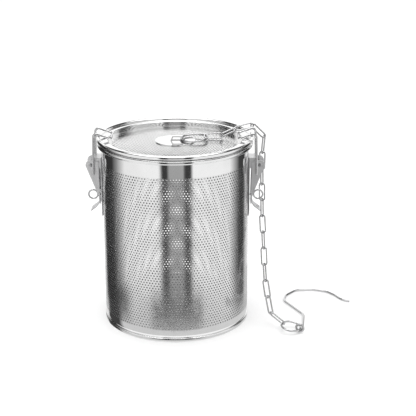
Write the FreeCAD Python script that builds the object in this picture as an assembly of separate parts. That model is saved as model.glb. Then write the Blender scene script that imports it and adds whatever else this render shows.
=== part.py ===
"""Perforated stainless-steel infuser basket for brewing, with a lid, two toggle latches, a chain and a hook.

The basket's axis is x = y = 0 and it stands on z = 0. The latches are at -X (left) and +X (right).
The chain runs from the middle of the lid over the rim on the +X side, down to the floor and to the hook.
Millimetres throughout. The perforated sheets are drawn as plain sheets of the same thickness.
"""
import FreeCAD, Part
import math
import os

V = FreeCAD.Vector
Z = V(0, 0, 1)

# ---- driving dimensions -------------------------------------------------------------------
wall_radius = 70.0          # outside of the rolled basket wall
sheet = 0.6                 # stainless sheet of the wall, the discs and the lid
seam_height = 4.0           # rolled seam that joins the wall to the bottom disc
seam_radius = 70.6
wall_top = 173.3            # where the wall meets the collar of the rim bead
bead_r = 2.1                # tube radius of both rolled beads
body_bead = (72.0, 175.5)   # centre circle of the basket's bead: radius, height
lid_bead = (72.3, 180.0)    # centre circle of the lid's bead
lid_top = 180.0             # upper face of the lid's flat flange
lid_wall_r = 63.2           # inner face of the lid's recessed wall
lid_edge_r = 1.2            # rounding between the recessed wall and the flange
disc_edge_z = 174.5         # upper face of the domed lid disc at its edge
disc_dome = 2.0             # how much higher its flat middle is
floor_disc_z = 2.2          # upper face of the bottom disc

plate_r = 19.0              # round plate in the middle of the lid
plate_t = 0.8
bridge_half_width = 2.5     # lanced strip that holds the ring
ring_centre = V(17.8, 2.0, 178.8)
ring_r = 12.7
ring_wire_r = 0.9
ring_tilt = 2.4             # degrees: its far side lies on the first link
bridge_outline = [(-4.4, 0.0), (-2.4, 4.3), (7.2, 4.3), (9.2, 0.0),
                  (8.3, 0.0), (6.6, 3.5), (-1.8, 3.5), (-3.5, 0.0)]     # x, height over the plate
bridge_opening = (-3.5, 8.3)

chain_wire_r = 0.75
link_length = 19.5          # outside
link_width = 7.0            # outside
link_gap = 0.5              # play between two links at rest
hook_ring_r = 9.0
hook_ring_wire_r = 1.0
hook_wire_r = 1.1
hook_eye_r = 3.6
hook_eye_wire_r = 1.15
hook_ring_tilt = 9.0        # degrees: it leans on the last link
hook_stub = 9.0             # straight run beside the eye
hook_bend = 12.0
hook_turns = [(126, -10), (108.7, 25), (111.6, 38), (123, 51.5), (141.6, 52.8),
              (155, 47.5), (162.4, 38), (168.3, 26.3), (175.2, 22.5)]
hook_direction = V(0.928, -0.373, 0).normalize()    # from the ring's centre to the hook's eye

pivot = (80.0, 155.3)       # lever pivot: distance from the axis, height
bail_pivot = (77.5, 146.6)
latch_t = 0.8               # thickness of the latch's base plate and lever
base_plate_x = 70.05        # inner face of the base plate
base_plate_z = (104.0, 162.0)
base_half_width = 8.0
ear_y = (7.5, 8.2)
ear_r = 3.4
bracket_reach = 78.0        # how far the flange above the ears stands out
pin_r = 1.2
pin_half_length = 9.4
running_gap = 0.05          # radial play of a pin in its hole
lever_y = (8.5, 9.3)
lever_head_r = 4.8
tab_half_width = 7.0
slot_half_width = 1.6
slot_z = (117.2, 131.0)
eye_centre = (79.4, 123.5)
eye_r = 4.35
eye_wire_r = 0.8
bail_wire_r = 1.1
bail_leg_y = 10.7
bail_stub_y = 8.4
bail_top = (76.3, 187.3)    # bend over the rim
bail_bar = (60.0, 181.6)    # the bar that presses on the lid
bail_bend = 3.2
cheek_outline = [(72.5, 158.5), (79.0, 160.0), (84.7, 154.3), (81.5, 146.0), (73.5, 125.0),
                 (72.9, 119.4), (71.9, 119.6), (72.5, 145.0)]
web_line = [(72.6, 116.5), (73.5, 125.0), (81.5, 146.0)]
tab_line = [(81.0, 108.7), (75.0, 113.4), (72.6, 117.5)]
weld_spot_r = 1.5
weld_spot_t = 0.15
weld_spot_y = (-4.5, 4.5)
weld_spot_z = (109.0, 140.0)


# ---- helpers ------------------------------------------------------------------------------
def save(name, shape):
    shape.exportStep("parts/" + name + ".step")
    print(f"{name:22s} {shape.Volume:10.2f} mm3  solids {len(shape.Solids)}  valid {shape.isValid()}")


def polygon_face(points):
    """Face in the XZ plane from (x, z) corners."""
    corners = [V(x, 0, z) for x, z in points]
    return Part.Face(Part.makePolygon(corners + corners[:1]))


def slab(points, y_low, y_high):
    """Plate with the given (x, z) outline, from y_low to y_high."""
    face = polygon_face(points)
    face.translate(V(0, y_low, 0))
    return face.extrude(V(0, y_high - y_low, 0))


def y_cylinder(centre, radius, y_low, y_high):
    return Part.makeCylinder(radius, y_high - y_low, V(centre[0], y_low, centre[1]), V(0, 1, 0))


def turned(edges):
    """Solid of revolution about Z from the closed outline of edges in the XZ plane."""
    return Part.Face(Part.Wire(edges)).revolve(V(0, 0, 0), Z, 360)


def line(a, b):
    return Part.LineSegment(V(a[0], 0, a[1]), V(b[0], 0, b[1])).toShape()


def arc(a, middle, b):
    return Part.Arc(V(a[0], 0, a[1]), V(middle[0], 0, middle[1]), V(b[0], 0, b[1])).toShape()


def mirrored_name(name, side):
    return name + ("_right" if side > 0 else "_left")


def on_side(shape, side):
    """The right-hand latch as drawn, or its mirror image on the left."""
    return shape if side > 0 else shape.mirror(V(0, 0, 0), V(1, 0, 0))


def rounded_route(points, largest_bend):
    """Straight runs joined by tangent arcs; each bend is as large as its runs allow."""
    edges = []
    start = points[0]
    for before, corner, after in zip(points, points[1:], points[2:]):
        inward = (corner - before).normalize()
        outward = (after - corner).normalize()
        turn = inward.getAngle(outward)
        shorter = min((corner - before).Length, (after - corner).Length)
        bend = min(largest_bend, 0.45 * shorter / math.tan(turn / 2))
        cut_back = bend * math.tan(turn / 2)
        first = corner - inward * cut_back
        last = corner + outward * cut_back
        to_centre = (outward - inward).normalize()
        middle = corner + to_centre * (bend / math.cos(turn / 2) - bend)
        edges.append(Part.LineSegment(start, first).toShape())
        edges.append(Part.Arc(first, middle, last).toShape())
        start = last
    edges.append(Part.LineSegment(start, points[-1]).toShape())
    return Part.Wire(edges)


def bent_wire(points, wire_radius, largest_bend):
    route = rounded_route(points, largest_bend)
    section = Part.Wire(Part.makeCircle(wire_radius, points[0], points[1] - points[0]))
    solid = route.makePipeShell([section], True, False)
    print(f"  wire {route.Length:.1f} mm, volume over section {solid.Volume / (math.pi * wire_radius**2):.1f}")
    return solid


def sheet_strip(points, thickness, y_low, y_high):
    """Folded strip: (x, z) points of its outer face, thickness to the left of their direction."""
    inner = []
    for index, (x, z) in enumerate(points):
        normals = []
        for (ax, az), (bx, bz) in zip(points[max(index - 1, 0):index + 1], points[max(index, 1):index + 2]):
            length = math.hypot(bx - ax, bz - az)
            normals.append((-(bz - az) / length, (bx - ax) / length))
        nx = sum(n[0] for n in normals) / len(normals)
        nz = sum(n[1] for n in normals) / len(normals)
        scale = thickness / (nx * nx + nz * nz)
        inner.append((x + nx * scale, z + nz * scale))
    return slab(points + inner[::-1], y_low, y_high)


# ---- basket -------------------------------------------------------------------------------
def basket_wall():
    outer = Part.makeCylinder(wall_radius, wall_top - seam_height, V(0, 0, seam_height))
    inner = Part.makeCylinder(wall_radius - sheet, wall_top - seam_height, V(0, 0, seam_height))
    return outer.cut(inner)


def top_rim_bead():
    radius, height = body_bead
    collar = Part.makeCylinder(wall_radius, height - wall_top, V(0, 0, wall_top))
    collar = collar.cut(Part.makeCylinder(wall_radius - sheet, height - wall_top, V(0, 0, wall_top)))
    return collar.fuse(Part.makeTorus(radius, bead_r, V(0, 0, height)))


def base_seam_ring():
    inner_r = wall_radius - 2 * sheet
    ring = Part.makeCylinder(seam_radius, seam_height).cut(Part.makeCylinder(inner_r, seam_height))
    outer_edges = [e for e in ring.Edges if e.Curve.TypeId == "Part::GeomCircle" and e.Curve.Radius > wall_radius]
    return ring.makeFillet(sheet, outer_edges)


def bottom_disc():
    return Part.makeCylinder(wall_radius - 2 * sheet, sheet, V(0, 0, floor_disc_z - sheet))


# ---- lid ----------------------------------------------------------------------------------
def lid_rim():
    inner, outer = lid_wall_r, lid_wall_r + sheet
    low = disc_edge_z - sheet
    bend_z = lid_top - lid_edge_r
    bend_x = inner + lid_edge_r
    reach = lid_bead[0] - bead_r + sheet
    small = lid_edge_r - sheet
    diagonal = math.sqrt(0.5)
    edges = [
        line((inner, low), (inner, bend_z)),
        arc((inner, bend_z), (bend_x - lid_edge_r * diagonal, bend_z + lid_edge_r * diagonal), (bend_x, lid_top)),
        line((bend_x, lid_top), (reach, lid_top)),
        line((reach, lid_top), (reach, lid_top - sheet)),
        line((reach, lid_top - sheet), (bend_x, lid_top - sheet)),
        arc((bend_x, lid_top - sheet), (bend_x - small * diagonal, bend_z + small * diagonal), (outer, bend_z)),
        line((outer, bend_z), (outer, low)),
        line((outer, low), (inner, low)),
    ]
    return turned(edges).fuse(Part.makeTorus(lid_bead[0], bead_r, V(0, 0, lid_bead[1])))


def lid_disc():
    """Flat under the centre plate, then falling in a shallow curve to the recessed wall."""
    edge, flat = lid_wall_r, plate_r
    middle = (edge + flat) / 2
    top, low = disc_edge_z + disc_dome, disc_edge_z
    middle_z = low + disc_dome * 0.7
    edges = [
        line((0, top), (flat, top)),
        arc((flat, top), (middle, middle_z), (edge, low)),
        line((edge, low), (edge, low - sheet)),
        arc((edge, low - sheet), (middle, middle_z - sheet), (flat, top - sheet)),
        line((flat, top - sheet), (0, top - sheet)),
        line((0, top - sheet), (0, top)),
    ]
    return turned(edges)


def lid_centre_plate():
    low = disc_edge_z + disc_dome
    top = low + plate_t
    left, right = bridge_opening
    plate = Part.makeCylinder(plate_r, plate_t, V(0, 0, low))
    opening = Part.makeBox(right - left, 2 * bridge_half_width, plate_t, V(left, -bridge_half_width, low))
    outline = [(x, top + height) for x, height in bridge_outline]
    return plate.cut(opening).fuse(slab(outline, -bridge_half_width, bridge_half_width))


def tilted_ring(radius, wire_radius, centre, uphill):
    """Ring whose plane rises along the given direction."""
    level = V(-uphill.y, uphill.x, 0).normalize()
    return Part.makeTorus(radius, wire_radius, centre, uphill.cross(level))


def lid_ring():
    return tilted_ring(ring_r, ring_wire_r, ring_centre, ring_exit)


# ---- latches (drawn at +X) ----------------------------------------------------------------
def latch_base():
    outer_x = base_plate_x + latch_t
    low, high = base_plate_z
    flange_low = high - latch_t
    plate = Part.makeBox(latch_t, 2 * base_half_width, high - low, V(base_plate_x, -base_half_width, low))
    flange = Part.makeBox(bracket_reach - outer_x, 2 * ear_y[1], latch_t, V(outer_x, -ear_y[1], flange_low))
    pieces = [flange]
    for side in (-1, 1):
        near, far = sorted((side * ear_y[0], side * ear_y[1]))
        arm = slab([(outer_x, pivot[1] - ear_r), (pivot[0], pivot[1] - ear_r),
                    (pivot[0], pivot[1] + ear_r), (outer_x, pivot[1] + ear_r)], near, far)
        neck = slab([(outer_x, pivot[1] + ear_r), (bracket_reach, pivot[1] + ear_r),
                     (bracket_reach, flange_low), (outer_x, flange_low)], near, far)
        pieces += [arm, neck, y_cylinder(pivot, ear_r, near, far)]
    whole = plate.fuse(pieces).removeSplitter()
    return whole.cut(y_cylinder(pivot, pin_r, -pin_half_length, pin_half_length))


def pivot_pin():
    return y_cylinder(pivot, pin_r, -pin_half_length, pin_half_length)


def padlock_eye():
    x, z = eye_centre
    loop = Part.makeTorus(eye_r, eye_wire_r, V(x, 0, z), V(0, 1, 0))
    start = base_plate_x + latch_t
    stem = Part.makeCylinder(eye_wire_r, x - eye_r - start, V(start, 0, z), V(1, 0, 0))
    return loop.fuse(stem)


def weld_spots():
    """Four spot welds on each base plate."""
    face_x = base_plate_x + latch_t
    spots = []
    for side in (-1, 1):
        for y in weld_spot_y:
            for z in weld_spot_z:
                spot = Part.makeCylinder(weld_spot_r, weld_spot_t, V(face_x, y, z), V(1, 0, 0))
                spots.append(on_side(spot, side))
    return Part.makeCompound(spots)


def lever():
    pieces = []
    for side in (-1, 1):
        near, far = sorted((side * lever_y[0], side * lever_y[1]))
        pieces.append(slab(cheek_outline, near, far).fuse(y_cylinder(pivot, lever_head_r, near, far)))
    web = sheet_strip(web_line, latch_t, -lever_y[1], lever_y[1])
    tab = sheet_strip(tab_line, -latch_t, -tab_half_width, tab_half_width)
    whole = pieces[0].fuse([pieces[1], web, tab]).removeSplitter()
    slot = Part.makeBox(20.0, 2 * slot_half_width, slot_z[1] - slot_z[0],
                        V(base_plate_x, -slot_half_width, slot_z[0]))
    holes = [y_cylinder(pivot, pin_r + running_gap, -pin_half_length, pin_half_length),
             y_cylinder(bail_pivot, bail_wire_r + running_gap, -pin_half_length, pin_half_length)]
    return whole.cut([slot] + holes)


def bail():
    """U of wire: stub in the lever, leg up past the rim, over it and down to the bar inside the lid."""
    half = [V(bail_pivot[0], bail_stub_y, bail_pivot[1]), V(bail_pivot[0], bail_leg_y, bail_pivot[1]),
            V(bail_top[0], bail_leg_y, bail_top[1]), V(bail_bar[0], bail_leg_y, bail_bar[1])]
    other = [V(p.x, -p.y, p.z) for p in reversed(half)]
    return bent_wire(half + other, bail_wire_r, bail_bend)


# ---- chain --------------------------------------------------------------------------------
link_end_r = (link_width - 2 * chain_wire_r) / 2
link_straight = link_length - link_width
chain_pitch = link_length - 4 * chain_wire_r - link_gap
knot_overlap = (link_length - 2 * chain_wire_r - chain_pitch) / 2

# where the chain runs: along the lid, over the rim behind the right-hand latch, down and forward
exit_angle = math.radians(20)
ring_slope = math.radians(ring_tilt)
ring_exit = V(math.cos(exit_angle) * math.cos(ring_slope), math.sin(exit_angle) * math.cos(ring_slope),
              math.sin(ring_slope))
first_knot = ring_centre + ring_exit * (ring_r - ring_wire_r - chain_wire_r - link_gap + knot_overlap)
chain_guide = [
    first_knot, V(44.5, 10.4, 179.3), V(58.3, 15.3, 184.6), V(73.6, 19.0, 187.3), V(85.2, 18.3, 176.6),
    V(83.8, 17.2, 160.5), V(83.5, 17.0, 150.4), V(83.5, 17.0, 134.9),
    V(84.3, 17.0, 119.0), V(84.0, 17.0, 105.0), V(85.0, 5.8, 84.0), V(86.4, -16.5, 44.0),
    V(89.0, -25.5, 27.8), V(91.9, -34.0, 13.6), V(104.0, -41.5, 6.2), V(150.0, -58.0, 6.2),
]
link_count = 16
links_on_lid = 4


def knots_along(guide, pitch, count):
    """Points one pitch apart, each on the guide, where the links hang in each other."""
    knots = [guide[0]]
    run = 0
    while len(knots) <= count:
        here = knots[-1]
        while (guide[run + 1] - here).Length < pitch:
            run += 1
        low, high = 0.0, 1.0
        start = here if (here - guide[run]).dot(guide[run + 1] - guide[run]) > 0 else guide[run]
        for _ in range(40):
            middle = (low + high) / 2
            point = start + (guide[run + 1] - start) * middle
            if (point - here).Length < pitch:
                low = middle
            else:
                high = middle
        knots.append(start + (guide[run + 1] - start) * high)
    return knots


def chain_link(start, end, roll):
    """One link between two knots, turned by roll degrees about its length."""
    along = (end - start).normalize()
    level = (V(0, 1, 0) - along * along.y).normalize()
    width = level * math.cos(math.radians(roll)) + along.cross(level) * math.sin(math.radians(roll))
    normal = along.cross(width)
    half = link_straight / 2
    pieces = []
    for side in (-1, 1):
        bar = Part.makeCylinder(chain_wire_r, link_straight, V(-half, side * link_end_r, 0), V(1, 0, 0))
        section = Part.Face(Part.Wire(Part.makeCircle(
            chain_wire_r, V(side * half, -side * link_end_r, 0), V(1, 0, 0))))
        pieces += [bar, section.revolve(V(side * half, 0, 0), Z, 180)]
    link = pieces[0].fuse(pieces[1:]).removeSplitter()
    middle = (start + end) * 0.5
    link.Placement = FreeCAD.Placement(FreeCAD.Matrix(
        along.x, width.x, normal.x, middle.x,
        along.y, width.y, normal.y, middle.y,
        along.z, width.z, normal.z, middle.z,
        0, 0, 0, 1))
    return link


def roll_of(index):
    """Links lie on their edges on the lid and the floor, and hang nearly square to the wall."""
    if index < 2 or index >= link_count - 2:
        lean = 45
    elif index < links_on_lid:
        lean = 35
    else:
        lean = 25
    return lean + 90 * (index % 2)


knots = knots_along(chain_guide, chain_pitch, link_count)
last_direction = knots[-1] - knots[-2]
hook_ring_slope = math.radians(hook_ring_tilt)
level_direction = V(last_direction.x, last_direction.y, 0).normalize()
ring_direction = level_direction * math.cos(hook_ring_slope) - Z * math.sin(hook_ring_slope)
hook_ring_centre = knots[-1] + ring_direction * (
    hook_ring_r - hook_ring_wire_r - chain_wire_r - link_gap + knot_overlap)


def hook_ring():
    return tilted_ring(hook_ring_r, hook_ring_wire_r, hook_ring_centre, -ring_direction)


def hook():
    """Wire hook lying on the floor, its eye standing round the ring."""
    eye_at = hook_ring_centre + hook_direction * hook_ring_r
    foot = V(eye_at.x, eye_at.y, hook_eye_wire_r)
    tangent = V(-hook_direction.y, hook_direction.x, 0)
    eye = Part.makeTorus(hook_eye_r, hook_eye_wire_r, foot + V(0, 0, hook_eye_r), tangent)
    route = [foot, foot + tangent * hook_stub] + [V(x, y, hook_eye_wire_r) for x, y in hook_turns]
    return eye.fuse(bent_wire(route, hook_wire_r, hook_bend))


# ---- build --------------------------------------------------------------------------------
os.makedirs("parts", exist_ok=True)
save("basket_wall", basket_wall())
save("top_rim_bead", top_rim_bead())
save("base_seam_ring", base_seam_ring())
save("bottom_disc", bottom_disc())
save("lid_rim", lid_rim())
save("lid_disc", lid_disc())
save("lid_centre_plate", lid_centre_plate())
save("lid_ring", lid_ring())
save("latch_weld_spots", weld_spots())
for side in (-1, 1):
    save(mirrored_name("latch_base", side), on_side(latch_base(), side))
    save(mirrored_name("pivot_pin", side), on_side(pivot_pin(), side))
    save(mirrored_name("padlock_eye", side), on_side(padlock_eye(), side))
    save(mirrored_name("lever", side), on_side(lever(), side))
    save(mirrored_name("bail", side), on_side(bail(), side))
for index in range(link_count):
    save(f"chain_link_{index + 1:02d}", chain_link(knots[index], knots[index + 1], roll_of(index)))
save("hook_ring", hook_ring())
save("hook", hook())
for number, knot in enumerate(knots):
    print(f"knot {number}: ({knot.x:.2f}, {knot.y:.2f}, {knot.z:.2f})")
for name, place in (("centre", hook_ring_centre),
                    ("at the chain", hook_ring_centre - ring_direction * hook_ring_r),
                    ("at the hook", hook_ring_centre + hook_direction * hook_ring_r)):
    print(f"hook ring, {name}: ({place.x:.2f}, {place.y:.2f}, {place.z:.2f})")
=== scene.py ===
"""Looks of a perforated stainless-steel infuser basket with a lid, two toggle latches, a chain and a hook.

Metres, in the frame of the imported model: the basket's axis is x = y = 0 and it stands on z = 0.
"""
import bpy
import math
import numpy as np
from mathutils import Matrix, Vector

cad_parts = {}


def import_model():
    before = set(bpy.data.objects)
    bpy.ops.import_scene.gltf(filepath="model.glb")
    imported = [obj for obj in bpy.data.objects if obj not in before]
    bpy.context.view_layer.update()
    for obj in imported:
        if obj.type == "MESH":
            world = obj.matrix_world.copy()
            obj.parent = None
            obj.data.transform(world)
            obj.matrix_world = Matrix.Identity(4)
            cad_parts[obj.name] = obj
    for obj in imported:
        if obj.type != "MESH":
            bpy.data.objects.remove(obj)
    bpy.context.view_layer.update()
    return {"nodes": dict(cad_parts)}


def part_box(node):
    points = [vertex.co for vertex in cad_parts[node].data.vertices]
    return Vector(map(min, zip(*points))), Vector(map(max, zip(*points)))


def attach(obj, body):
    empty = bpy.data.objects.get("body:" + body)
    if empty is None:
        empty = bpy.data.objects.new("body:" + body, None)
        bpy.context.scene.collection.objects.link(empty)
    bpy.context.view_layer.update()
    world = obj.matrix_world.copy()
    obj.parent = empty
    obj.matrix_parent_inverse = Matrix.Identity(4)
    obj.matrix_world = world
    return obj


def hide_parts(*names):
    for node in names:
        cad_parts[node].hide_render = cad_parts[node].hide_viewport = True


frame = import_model()

MM = 0.001
SHEET = 0.6 * MM                      # thickness of every perforated sheet
HOLES_ROUND = 152                     # holes in one row round the wall
HOLE_ROWS = 59
HOLE_RADIUS = 0.82 * MM
HOLE_SIDES = 8
FIRST_ROW_Z = 13.4 * MM
WALL_PIECES = 3                       # the wall's rows are shared between this many meshes
SEGMENTS = 2 * HOLES_ROUND            # round every turned piece, so that edges meet the wall's
BEAD_R = 2.1 * MM                     # tube radius of both rolled beads
FOOT_TUCK = 0.5 * MM                  # how far the wall draws in just above the foot seam
FOOT_TUCK_HEIGHT = 4 * MM
SEAM_CORNER = 0.9 * MM
LID_BEND = 1.2 * MM                   # outer bend between the lid's recess and its flange
PLAIN_EDGE = 1.2                      # holes stop, and cells stop, this many pitches inside
CELL_EDGE = 0.1                       # the edge of a disc
DISC_SLOPE = 0.2                      # share of the lid disc's fall that is straight, not curved
RIVET_R = 1.9 * MM
RIVET_RISE = 0.25 * MM                # height of a rivet head over the cheek
RIVET_RIM = 0.06 * MM                 # height over the cheek where its dome starts
RIVET_CLEAR = 0.02 * MM               # between the head and the cheek
RIVET_SIDES = 32
SHARP_ANGLE = 40                      # degrees between faces from which an edge is sharp

wall_low, wall_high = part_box("basket_wall")
WALL_R = wall_high.x
WALL_INNER_R = WALL_R - SHEET
PITCH = 2 * math.pi * WALL_R / HOLES_ROUND
ROW_PITCH = PITCH * math.sqrt(3) / 2


# ---- materials ----------------------------------------------------------------------------
MARKS_SCALE = 160                     # scales of the noise behind the roughness, the tint,
TINT_SCALE = 60                       # the fine grain and the waviness
GRAIN_SCALE = 900
GRAIN_STRETCH = (1, 1, 8)
WAVE_SCALE = 28
NOISE_RANGE = (0.3, 0.7)              # where the noise mostly lies
TINT_DEPTH = 0.94


def steel(name, colour, roughness, spread=0.06, grain=0.0, wave=0.0):
    """Stainless steel: roughness that varies, fine marks, and a slow waviness in the sheet."""
    material = bpy.data.materials.new(name)
    material.use_nodes = True
    tree = material.node_tree
    shader = tree.nodes["Principled BSDF"]
    shader.inputs["Metallic"].default_value = 1.0
    place = tree.nodes.new("ShaderNodeTexCoord")

    def noise(scale, detail, stretch=(1, 1, 1)):
        mapping = tree.nodes.new("ShaderNodeMapping")
        mapping.inputs["Scale"].default_value = stretch
        tree.links.new(place.outputs["Object"], mapping.inputs["Vector"])
        node = tree.nodes.new("ShaderNodeTexNoise")
        node.inputs["Scale"].default_value = scale
        node.inputs["Detail"].default_value = detail
        tree.links.new(mapping.outputs["Vector"], node.inputs["Vector"])
        return node.outputs["Fac"]

    def ranged(value, low, high):
        node = tree.nodes.new("ShaderNodeMapRange")
        node.inputs["From Min"].default_value = NOISE_RANGE[0]
        node.inputs["From Max"].default_value = NOISE_RANGE[1]
        node.inputs["To Min"].default_value = low
        node.inputs["To Max"].default_value = high
        tree.links.new(value, node.inputs["Value"])
        return node.outputs["Result"]

    tree.links.new(ranged(noise(MARKS_SCALE, 4), roughness - spread / 2, roughness + spread / 2),
                   shader.inputs["Roughness"])
    tint = tree.nodes.new("ShaderNodeMix")
    tint.data_type = "RGBA"
    tint.inputs["A"].default_value = (*[c * TINT_DEPTH for c in colour], 1)
    tint.inputs["B"].default_value = (*colour, 1)
    tree.links.new(ranged(noise(TINT_SCALE, 3), 0, 1), tint.inputs["Factor"])
    tree.links.new(tint.outputs["Result"], shader.inputs["Base Color"])

    normal = None
    for value, distance in ((noise(GRAIN_SCALE, 2, GRAIN_STRETCH), grain), (noise(WAVE_SCALE, 1), wave)):
        if not distance:
            continue
        bump = tree.nodes.new("ShaderNodeBump")
        bump.inputs["Distance"].default_value = distance
        tree.links.new(value, bump.inputs["Height"])
        if normal:
            tree.links.new(normal, bump.inputs["Normal"])
        normal = bump.outputs["Normal"]
    if normal:
        tree.links.new(normal, shader.inputs["Normal"])
    return material


PERFORATED = steel("perforated_sheet", (0.80, 0.80, 0.80), 0.17, grain=0.00001)
# darker grey on the hole walls: partly the duller punched edge, partly painted shade inside the holes
PUNCHED_EDGE_AND_SHADE = steel("cut_edge_and_painted_shade", (0.34, 0.34, 0.345), 0.42)
# brighter than the outer sheet, on the inner and lower faces: painted light, so the inside shows bright
# through the holes
INNER_PAINTED_LIGHT = steel("inner_face_painted_light", (0.95, 0.95, 0.95), 0.5)
LID_SHEET = steel("lid_sheet", (0.92, 0.92, 0.92), 0.24, grain=0.00001)
# near black on the lid's hole walls: painted shade inside the holes
LID_HOLE_PAINTED_SHADE = steel("lid_hole_painted_shade", (0.10, 0.10, 0.10), 0.5)
POLISHED = steel("polished_rim", (0.84, 0.84, 0.84), 0.07, spread=0.04, wave=0.0002)
PRESSED = steel("pressed_latch", (0.78, 0.78, 0.785), 0.38, grain=0.00003)
WIRE = steel("bright_wire", (0.60, 0.60, 0.605), 0.12)
LINKS = steel("chain_wire", (0.56, 0.56, 0.565), 0.15)
HEADS = steel("rivet_heads", (0.42, 0.42, 0.425), 0.25)


# ---- meshes -------------------------------------------------------------------------------
def piece(name, vertices, faces, material, body, slot, replaced, punched=None, hole=PUNCHED_EDGE_AND_SHADE):
    """A mesh that rides on a body. punched gives the faces inside the holes and on a sheet's lower side."""
    mesh = bpy.data.meshes.new(name)
    mesh.from_pydata(np.asarray(vertices).tolist(), [], faces)
    mesh.materials.append(material)
    if punched:
        mesh.materials.append(hole)
        mesh.materials.append(INNER_PAINTED_LIGHT)
        for index, numbers in enumerate(punched, 1):
            for number in numbers:
                mesh.polygons[number].material_index = index
    mesh.polygons.foreach_set("use_smooth", [True] * len(mesh.polygons))
    mesh.set_sharp_from_angle(angle=math.radians(SHARP_ANGLE))
    made = bpy.data.objects.new(name, mesh)
    bpy.context.scene.collection.objects.link(made)
    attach(made, body)
    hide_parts(*replaced)


def turned(profiles):
    """Vertices and faces of closed (radius, z) outlines, given anticlockwise, turned about the axis."""
    angles = np.arange(SEGMENTS) * 2 * math.pi / SEGMENTS
    vertices, faces = [], []
    for profile in profiles:
        base, count = len(vertices), len(profile)
        for angle in angles:
            vertices += [(r * math.cos(angle), r * math.sin(angle), z) for r, z in profile]
        for s in range(SEGMENTS):
            here, there = base + s * count, base + (s + 1) % SEGMENTS * count
            for k in range(count):
                after = (k + 1) % count
                faces.append((here + k, there + k, there + after, here + after))
    return vertices, faces


def arc_points(centre, radius, start, end, count):
    """(radius, z) points of an arc, in degrees."""
    return [(centre[0] + radius * math.cos(math.radians(a)), centre[1] + radius * math.sin(math.radians(a)))
            for a in np.linspace(start, end, count)]


def circle_profile(centre, radius, count=28):
    return arc_points(centre, radius, 0, 360 - 360 / count, count)


def ring_join(inner_angles, outer_angles):
    """Triangles between an inner and an outer ring of points; outer ones are numbered after the inner."""
    n, m = len(inner_angles), len(outer_angles)
    triangles, i, j = [], 0, 0
    while i < n or j < m:
        next_inner = inner_angles[(i + 1) % n] + (360 if i + 1 >= n else 0)
        next_outer = outer_angles[(j + 1) % m] + (360 if j + 1 >= m else 0)
        if j >= m or (i < n and next_inner <= next_outer):
            triangles.append((i % n, n + j % m, (i + 1) % n))
            i += 1
        else:
            triangles.append((i % n, n + j % m, n + (j + 1) % m))
            j += 1
    return triangles


HEX_POINTS = [(1, 1), (0, 2), (-1, 1), (-1, -1), (0, -2), (1, -1)]       # half pitches, third rows
HEX_ANGLES = [30, 90, 150, 210, 270, 330]
HOLE_ANGLES = [30 + k * 360 / HOLE_SIDES for k in range(HOLE_SIDES)]
CELL_TRIANGLES = ring_join(HOLE_ANGLES, HEX_ANGLES)
SOLID_TRIANGLES = [(0, 1, 2), (0, 2, 3), (0, 3, 4), (0, 4, 5)]


def perforated(cells, solid_cells, place, wrap=0, settle=None):
    """A sheet of hexagonal cells, each with a round hole, as one closed mesh.

    cells and solid_cells are (column in half pitches, row). place(x, y, side) gives the points in
    space on the upper (side 1) or lower (side 0) face. settle moves the corners of the cells.
    Returns vertices, faces, and the numbers of the faces inside the holes and on the lower face.
    """
    corner_number, corners, flat, hole_edges = {}, [], [], []

    def corner(column, third):
        key = (column % wrap if wrap else column, third)
        if key not in corner_number:
            corner_number[key] = len(corners)
            corners.append((column * PITCH / 2, third * ROW_PITCH / 3))
        return corner_number[key]

    holed = [[corner(c + dx, 3 * r + dy) for dx, dy in HEX_POINTS] for c, r in cells]
    plain = [[corner(c + dx, 3 * r + dy) for dx, dy in HEX_POINTS] for c, r in solid_cells]
    points = [list(p) for p in corners]
    for (c, r), ring in zip(cells, holed):
        first = len(points)
        for angle in HOLE_ANGLES:
            points.append([c * PITCH / 2 + HOLE_RADIUS * math.cos(math.radians(angle)),
                           r * ROW_PITCH + HOLE_RADIUS * math.sin(math.radians(angle))])
        numbers = [first + k for k in range(HOLE_SIDES)] + ring
        flat += [tuple(numbers[k] for k in triangle) for triangle in CELL_TRIANGLES]
        hole_edges += [(first + k, first + (k + 1) % HOLE_SIDES) for k in range(HOLE_SIDES)]
    for ring in plain:
        flat += [tuple(ring[k] for k in triangle) for triangle in SOLID_TRIANGLES]

    used = {}
    for triangle in flat:
        for a, b in zip(triangle, triangle[1:] + triangle[:1]):
            used[(a, b)] = used.get((a, b), 0) + 1
    border = [(a, b) for a, b in used if (b, a) not in used and a < len(corners) and b < len(corners)]
    xy = np.array(points)
    if settle:
        settle(xy, sorted({a for edge in border for a in edge}))
    upper, lower = place(xy[:, 0], xy[:, 1], 1), place(xy[:, 0], xy[:, 1], 0)
    count = len(points)
    faces = list(flat)
    faces += [(a + count, c + count, b + count) for a, b, c in flat]
    first_wall = len(faces)
    faces += [(a, b, b + count, a + count) for a, b in hole_edges]
    punched = range(first_wall, len(faces))
    faces += [(b, a, a + count, b + count) for a, b in border]
    return np.vstack([upper, lower]), faces, (punched, range(len(flat), 2 * len(flat)))


# ---- basket -------------------------------------------------------------------------------
def wall_place(x, y, side):
    radius = WALL_R if side else WALL_INNER_R
    angle = x / WALL_R
    return np.column_stack([radius * np.cos(angle), radius * np.sin(angle), y + FIRST_ROW_Z])


HOLES_LOW_Z = FIRST_ROW_Z - 2 * ROW_PITCH / 3
HOLES_HIGH_Z = FIRST_ROW_Z + (HOLE_ROWS - 1) * ROW_PITCH + 2 * ROW_PITCH / 3


def straighten(xy, border):
    """The outermost corners of the first and last row come into line with the plain bands."""
    low, high = HOLES_LOW_Z - FIRST_ROW_Z, HOLES_HIGH_Z - FIRST_ROW_Z
    for number in border:
        if xy[number, 1] < low + ROW_PITCH / 2:
            xy[number, 1] = low
        elif xy[number, 1] > high - ROW_PITCH / 2:
            xy[number, 1] = high


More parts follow.
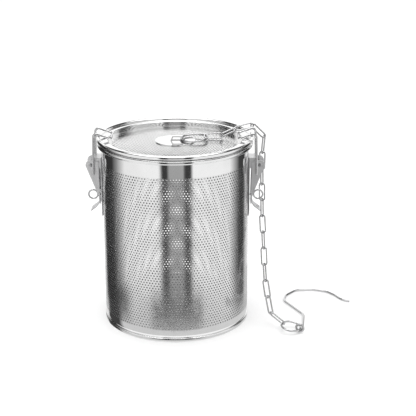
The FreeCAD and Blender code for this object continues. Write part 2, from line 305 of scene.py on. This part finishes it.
def basket_wall():
    rows = np.array_split(np.arange(HOLE_ROWS), WALL_PIECES)
    for number, share in enumerate(rows):
        cells = [(2 * column + int(row) % 2, int(row)) for row in share for column in range(HOLES_ROUND)]
        vertices, faces, punched = perforated(cells, [], wall_place, wrap=2 * HOLES_ROUND, settle=straighten)
        piece(f"wall_holes_{number + 1}", vertices, faces, PERFORATED, "basket", "perforated_steel",
              ["basket_wall"], punched=punched)
    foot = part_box("base_seam_ring")[1].z
    round_from = foot + FOOT_TUCK_HEIGHT
    outer = [(WALL_R - FOOT_TUCK * ((round_from - z) / (round_from - foot)) ** 2, z)
             for z in np.linspace(foot, round_from, 8)]
    lower = outer + [(WALL_R, HOLES_LOW_Z), (WALL_INNER_R, HOLES_LOW_Z), (WALL_INNER_R, round_from)]
    lower += [(r - SHEET, z) for r, z in outer[-2::-1]]
    upper = [(WALL_R, HOLES_HIGH_Z), (WALL_R, wall_high.z), (WALL_INNER_R, wall_high.z),
             (WALL_INNER_R, HOLES_HIGH_Z)]
    piece("wall_plain_bands", *turned([lower, upper]), POLISHED, "basket", "polished_steel",
          ["basket_wall"])


def top_rim_bead():
    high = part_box("top_rim_bead")[1]
    centre = (high.x - BEAD_R, high.z - BEAD_R)
    collar = [(WALL_R, wall_high.z), (WALL_R, centre[1]), (WALL_INNER_R, centre[1]),
              (WALL_INNER_R, wall_high.z)]
    piece("rim_bead", *turned([circle_profile(centre, BEAD_R), collar]), POLISHED, "basket",
          "polished_steel", ["top_rim_bead"])


def base_seam():
    low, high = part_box("base_seam_ring")
    inner = WALL_R - 2 * SHEET
    turn_r = high.x - SEAM_CORNER
    outline = [(inner, low.z)] + arc_points((turn_r, low.z + SEAM_CORNER), SEAM_CORNER, -90, 0, 6)
    outline += arc_points((turn_r, high.z - SEAM_CORNER), SEAM_CORNER, 0, 90, 6) + [(inner, high.z)]
    piece("base_seam", *turned([outline]), POLISHED, "basket", "polished_steel", ["base_seam_ring"])


def round_cells(radius):
    """Cells of a disc: holed ones well inside it, plain ones at its edge."""
    holed, plain = [], []
    reach = int(radius / ROW_PITCH) + 2
    for row in range(-reach, reach + 1):
        for column in range(-reach, reach + 1):
            cell = (2 * column + row % 2, row)
            distance = math.hypot(cell[0] * PITCH / 2, row * ROW_PITCH)
            if distance < radius - PLAIN_EDGE * PITCH:
                holed.append(cell)
            elif distance < radius - CELL_EDGE * PITCH:
                plain.append(cell)
    return holed, plain


def rounded_edge(radius):
    def settle(xy, border):
        for number in border:
            xy[number] *= radius / np.hypot(*xy[number])
    return settle


def bottom_disc():
    low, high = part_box("bottom_disc")
    radius = high.x

    def place(x, y, side):
        return np.column_stack([x, y, np.full_like(x, high.z if side else low.z)])
    vertices, faces, punched = perforated(*round_cells(radius), place, settle=rounded_edge(radius))
    piece("bottom_sheet", vertices, faces, PERFORATED, "basket", "perforated_steel", ["bottom_disc"],
          punched=punched)


# ---- lid ----------------------------------------------------------------------------------
def lid_disc():
    low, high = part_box("lid_disc")
    radius = high.x
    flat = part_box("lid_centre_plate")[1].x
    drop = high.z - low.z - SHEET

    def place(x, y, side):
        t = np.clip((np.hypot(x, y) - flat) / (radius - flat), 0, 1)
        z = high.z - drop * (DISC_SLOPE * t + (1 - DISC_SLOPE) * t * t)
        return np.column_stack([x, y, z - (0 if side else SHEET)])
    vertices, faces, punched = perforated(*round_cells(radius), place, settle=rounded_edge(radius))
    piece("lid_sheet", vertices, faces, LID_SHEET, "lid", "perforated_steel", ["lid_disc"],
          punched=punched, hole=LID_HOLE_PAINTED_SHADE)


def lid_rim():
    low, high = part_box("lid_rim")
    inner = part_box("lid_disc")[1].x
    centre = (high.x - BEAD_R, high.z - BEAD_R)
    top = centre[1]
    flange_r = centre[0] - BEAD_R + SHEET
    corner = (inner + LID_BEND, top - LID_BEND)
    outline = [(inner, low.z), (inner + SHEET, low.z)] + arc_points(corner, LID_BEND - SHEET, 180, 90, 7)
    outline += [(flange_r, top - SHEET), (flange_r, top)]
    outline += arc_points(corner, LID_BEND, 90, 180, 9)
    piece("lid_rim_rolled", *turned([outline, circle_profile(centre, BEAD_R)]), POLISHED, "lid",
          "polished_steel", ["lid_rim"])


# ---- latches ------------------------------------------------------------------------------
def pivot_pin(name):
    """The CAD pin with a shallow domed head outside each cheek of the lever."""
    low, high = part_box(name)
    x, z = (low.x + high.x) / 2, (low.z + high.z) / 2
    shank = (high.x - low.x) / 2
    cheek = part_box("lever_left")[1].y
    under, tip = cheek + RIVET_CLEAR, cheek + RIVET_RISE
    dome = RIVET_RISE - RIVET_RIM
    half = [(shank, 0), (shank, under), (RIVET_R, under)]
    half += [(RIVET_R * math.cos(t), cheek + RIVET_RIM + dome * math.sin(t))
             for t in np.linspace(0, math.pi / 2, 6)[:-1]]
    profile = [(r, -y) for r, y in reversed(half[1:])] + half
    vertices, faces = [], []
    for r, y in profile:
        for k in range(RIVET_SIDES):
            a = 2 * math.pi * k / RIVET_SIDES
            vertices.append((x + r * math.cos(a), y, z + r * math.sin(a)))
    last = (len(profile) - 1) * RIVET_SIDES
    for here in range(0, last, RIVET_SIDES):
        there = here + RIVET_SIDES
        for k in range(RIVET_SIDES):
            after = (k + 1) % RIVET_SIDES
            faces.append((here + k, there + k, there + after, here + after))
    for k in range(RIVET_SIDES):
        faces.append((len(vertices), k, (k + 1) % RIVET_SIDES))
    vertices.append((x, -tip, z))
    for k in range(RIVET_SIDES):
        faces.append((len(vertices), last + (k + 1) % RIVET_SIDES, last + k))
    vertices.append((x, tip, z))
    piece(name + "_headed", vertices, faces, HEADS, "basket", "latch_steel", [name])


# ---- pieces that keep their CAD shape -----------------------------------------------------
def finish_of(node):
    if node.startswith(("lever", "latch")):
        return PRESSED
    if node.startswith(("bail", "padlock", "hook")):
        return WIRE
    if node.startswith("lid_centre"):
        return POLISHED
    return LINKS


def dress_cad_nodes():
    for name, node in frame["nodes"].items():
        if node.hide_render:
            continue
        material = finish_of(name)
        for slot in node.material_slots:
            slot.material = material


# ---- stage, light and camera --------------------------------------------------------------
def linked(made):
    bpy.context.scene.collection.objects.link(made)
    return made


FLOOR_HALF = 6.0
FLOOR_COLOUR = (0.93, 0.93, 0.93, 1)
FLOOR_ROUGHNESS = 0.7


def floor():
    mesh = bpy.data.meshes.new("floor")
    corners = [(x * FLOOR_HALF, y * FLOOR_HALF, 0) for x, y in ((-1, -1), (1, -1), (1, 1), (-1, 1))]
    mesh.from_pydata(corners, [], [(0, 1, 2, 3)])
    material = bpy.data.materials.new("pale_floor")
    material.use_nodes = True
    shader = material.node_tree.nodes["Principled BSDF"]
    shader.inputs["Base Color"].default_value = FLOOR_COLOUR
    shader.inputs["Roughness"].default_value = FLOOR_ROUGHNESS
    mesh.materials.append(material)
    made = linked(bpy.data.objects.new("floor", mesh))
    made.visible_glossy = False


# what the steel mirrors, by direction from the front in degrees: (angle, brightness)
SURROUNDINGS = [(-180, 1.25), (-152, 1.25), (-140, 0.85), (-134, 0.03), (-103, 0.04), (-92, 0.3),
                (-75, 0.95), (-21, 1.05), (-17, 0.05), (-9.5, 0.05), (-7, 0.42), (12, 0.42), (14.5, 0.05),
                (22.5, 0.05), (26, 1.05), (86, 1.0), (96, 0.5), (108, 0.06), (126, 0.04), (132, 0.85),
                (152, 1.25), (180, 1.25)]
# the same in the belt under that one, with a dark patch in front
LOW_SURROUNDINGS = [(-180, 0.85), (-140, 0.85), (-134, 0.03), (-103, 0.04), (-80, 0.15), (-62, 0.8),
                    (-40, 0.7), (-30, 0.12), (34, 0.12), (44, 0.75), (86, 1.0), (108, 0.2), (126, 0.1),
                    (132, 0.85), (180, 0.85)]
# and in the lowest belt
FLOOR_SURROUNDINGS = [(-180, 0.8), (-134, 0.8), (-128, 0.06), (-96, 0.06), (-86, 0.7), (180, 0.75)]
DARK_BELT = [(-180, 0.05), (180, 0.05)]           # above the panels: it edges the beads and wires
BELTS = [(-0.20, -0.112, FLOOR_SURROUNDINGS), (-0.112, -0.073, LOW_SURROUNDINGS),
         (-0.073, 0.33, SURROUNDINGS), (0.36, 0.58, DARK_BELT)]     # from height, to height, what it shows
DRUM_R = 0.34
DRUM_STEPS = 180


def brightness_at(angle, surroundings):
    angles, values = zip(*surroundings)
    return float(np.interp(angle, angles, values))


def reflection_drum():
    """Bright and dark studio panels round the object, seen only in reflections.

    They reach below the floor, which reflections don't see.
    """
    material = bpy.data.materials.new("studio_panels")
    material.use_nodes = True
    tree = material.node_tree
    tree.nodes.clear()
    out = tree.nodes.new("ShaderNodeOutputMaterial")
    glow = tree.nodes.new("ShaderNodeEmission")
    level = tree.nodes.new("ShaderNodeAttribute")
    level.attribute_name = "level"
    tree.links.new(level.outputs["Color"], glow.inputs["Color"])
    tree.links.new(glow.outputs["Emission"], out.inputs["Surface"])
    vertices, faces, levels = [], [], []
    for low, high, surroundings in BELTS:
        first = len(vertices)
        for k in range(DRUM_STEPS + 1):
            angle = -180 + 360 * k / DRUM_STEPS
            a = math.radians(angle)
            for z in (low, high):
                vertices.append((DRUM_R * math.sin(a), -DRUM_R * math.cos(a), z))
                levels.append(brightness_at(angle, surroundings))
            if k < DRUM_STEPS:
                here = first + 2 * k
                faces.append((here, here + 1, here + 3, here + 2))
    mesh = bpy.data.meshes.new("studio_panels")
    mesh.from_pydata(vertices, [], faces)
    colours = mesh.color_attributes.new("level", "FLOAT_COLOR", "POINT")
    for number, value in enumerate(levels):
        colours.data[number].color = (value, value, value, 1)
    mesh.materials.append(material)
    drum = linked(bpy.data.objects.new("studio_panels", mesh))
    drum.visible_camera = False
    drum.visible_diffuse = False
    drum.visible_shadow = False
    drum.visible_transmission = False


WORLD_COLOUR = (1, 1, 1, 1)
WORLD_STRENGTH = 1.1
LIGHT_PLACE = (0.0, -0.1, 0.9)        # above the object and facing down
LIGHT_SIZE = 0.9
LIGHT_POWER = 4.0
CAMERA_PLACE = (0.0311, -0.962, 0.4357)
CAMERA_TILT = 71.26                   # degrees up from straight down
CAMERA_LENS = 90.8


def world():
    made = bpy.data.worlds.new("studio")
    bpy.context.scene.world = made
    made.use_nodes = True
    made.node_tree.nodes["Background"].inputs["Color"].default_value = WORLD_COLOUR
    made.node_tree.nodes["Background"].inputs["Strength"].default_value = WORLD_STRENGTH


def top_light():
    lamp = bpy.data.lights.new("top_light", "AREA")
    lamp.size = LIGHT_SIZE
    lamp.energy = LIGHT_POWER
    made = linked(bpy.data.objects.new("top_light", lamp))
    made.location = LIGHT_PLACE


def camera():
    lens = bpy.data.cameras.new("camera")
    lens.lens = CAMERA_LENS
    made = linked(bpy.data.objects.new("camera", lens))
    made.location = CAMERA_PLACE
    made.rotation_euler = (math.radians(CAMERA_TILT), 0, 0)
    bpy.context.scene.camera = made


camera()
basket_wall()
top_rim_bead()
base_seam()
bottom_disc()
lid_disc()
lid_rim()
pivot_pin("pivot_pin_left")
pivot_pin("pivot_pin_right")
dress_cad_nodes()
floor()
reflection_drum()
world()
top_light()
bpy.context.scene.view_settings.view_transform = "Standard"
